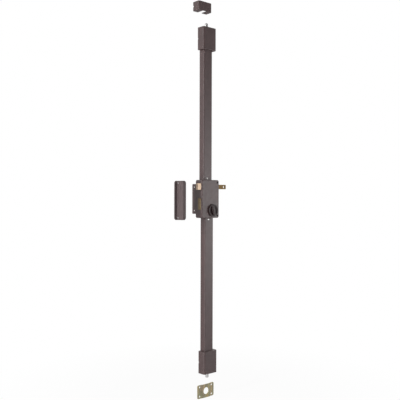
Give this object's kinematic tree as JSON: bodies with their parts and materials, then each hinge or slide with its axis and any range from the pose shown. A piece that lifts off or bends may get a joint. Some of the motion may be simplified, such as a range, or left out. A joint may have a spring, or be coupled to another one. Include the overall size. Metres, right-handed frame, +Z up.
{
  "type": "surface mounted multipoint lock",
  "caption": "Surface mounted door lock with latch, night bolt and two rods driven by a turn knob, with rod covers, guides, keepers and floor strike.",
  "frame": {"origin": "middle of the case's back, in the plane of the door's face", "axes": "+Z up the door, +Y into the door, +X to the right as seen from the room; the bolts leave the case towards -X"},
  "size_m": [0.229, 0.0658, 1.4529],
  "materials": {
    "brown_paint": "semi-gloss brown paint on steel",
    "zinc_steel": "bright zinc plated steel",
    "raw_steel": "oiled steel",
    "rod_steel": "turned steel",
    "brass": "drawn brass",
    "bronze": "sintered bronze",
    "yellow_zinc": "yellow passivated zinc plated steel",
    "knob_plastic": "moulded dark brown plastic",
    "black_screw": "black oxide steel",
    "bright_screw": "bright nickel plated steel",
    "guide_block": "glass filled nylon"
  },
  "bodies": {
    "lock_body": {"base_plate": "brown_paint", "case_cover": "brown_paint", "cover_posts": "raw_steel", "cover_screws": "black_screw", "guide_studs": "raw_steel", "spring_bracket": "raw_steel", "spindle_bush": "bronze", "upper_profile": "brown_paint", "lower_profile": "brown_paint", "upper_saddle": "zinc_steel", "lower_saddle": "zinc_steel", "profile_screws": "bright_screw", "top_guide_cover": "brown_paint", "bottom_guide_cover": "brown_paint", "top_guide_base": "guide_block", "bottom_guide_base": "guide_block", "side_keeper": "brown_paint", "top_keeper": "brown_paint", "floor_strike": "yellow_zinc"},
    "night_bolt": {"deadbolt": "brass", "bolt_carriage": "raw_steel", "bolt_rivets": "raw_steel", "bolt_rack": "raw_steel", "rack_rivets": "raw_steel"},
    "turn_knob": {"knob": "knob_plastic", "spindle": "raw_steel", "drive_pinion": "raw_steel", "pinion_pin": "raw_steel"},
    "upper_rod_set": {"upper_link": "raw_steel", "upper_cam_pin": "raw_steel", "upper_rod_pins": "raw_steel", "upper_rod": "rod_steel", "top_rod_tip": "rod_steel"},
    "lower_rod_set": {"lower_link": "raw_steel", "lower_cam_pin": "raw_steel", "lower_rod_pins": "raw_steel", "lower_rod": "rod_steel", "bottom_rod_tip": "rod_steel"},
    "latch": {"latch_bolt": "brass", "pull_bar": "brass", "latch_pin": "raw_steel", "latch_spring": "raw_steel"}
  },
  "joints": [
    {"name": "bolt_slide", "type": "slide", "parent": "lock_body", "child": "night_bolt", "axis": [-1, 0, 0], "range_m": [0, 0.02]},
    {"name": "knob_turn", "type": "hinge", "parent": "lock_body", "child": "turn_knob", "pos_m": [0.0095, -0.0353, -0.042], "axis": [0, -1, 0], "range_deg": [0, 183.4]},
    {"name": "upper_rod_slide", "type": "slide", "parent": "lock_body", "child": "upper_rod_set", "axis": [0, 0, 1], "range_m": [0, 0.02]},
    {"name": "lower_rod_slide", "type": "slide", "parent": "lock_body", "child": "lower_rod_set", "axis": [0, 0, -1], "range_m": [0, 0.02]},
    {"name": "latch_slide", "type": "slide", "parent": "lock_body", "child": "latch", "axis": [1, 0, 0], "range_m": [0, 0.017], "stiffness_N_per_m": 600, "springref_m": -0.006, "deforming": ["latch_spring"]}
  ],
  "couplings": [
    {"joint": "knob_turn", "follows": "bolt_slide", "rad_per_m": 160},
    {"joint": "upper_rod_slide", "follows": "bolt_slide", "ratio": 1},
    {"joint": "lower_rod_slide", "follows": "bolt_slide", "ratio": 1}
  ]
}
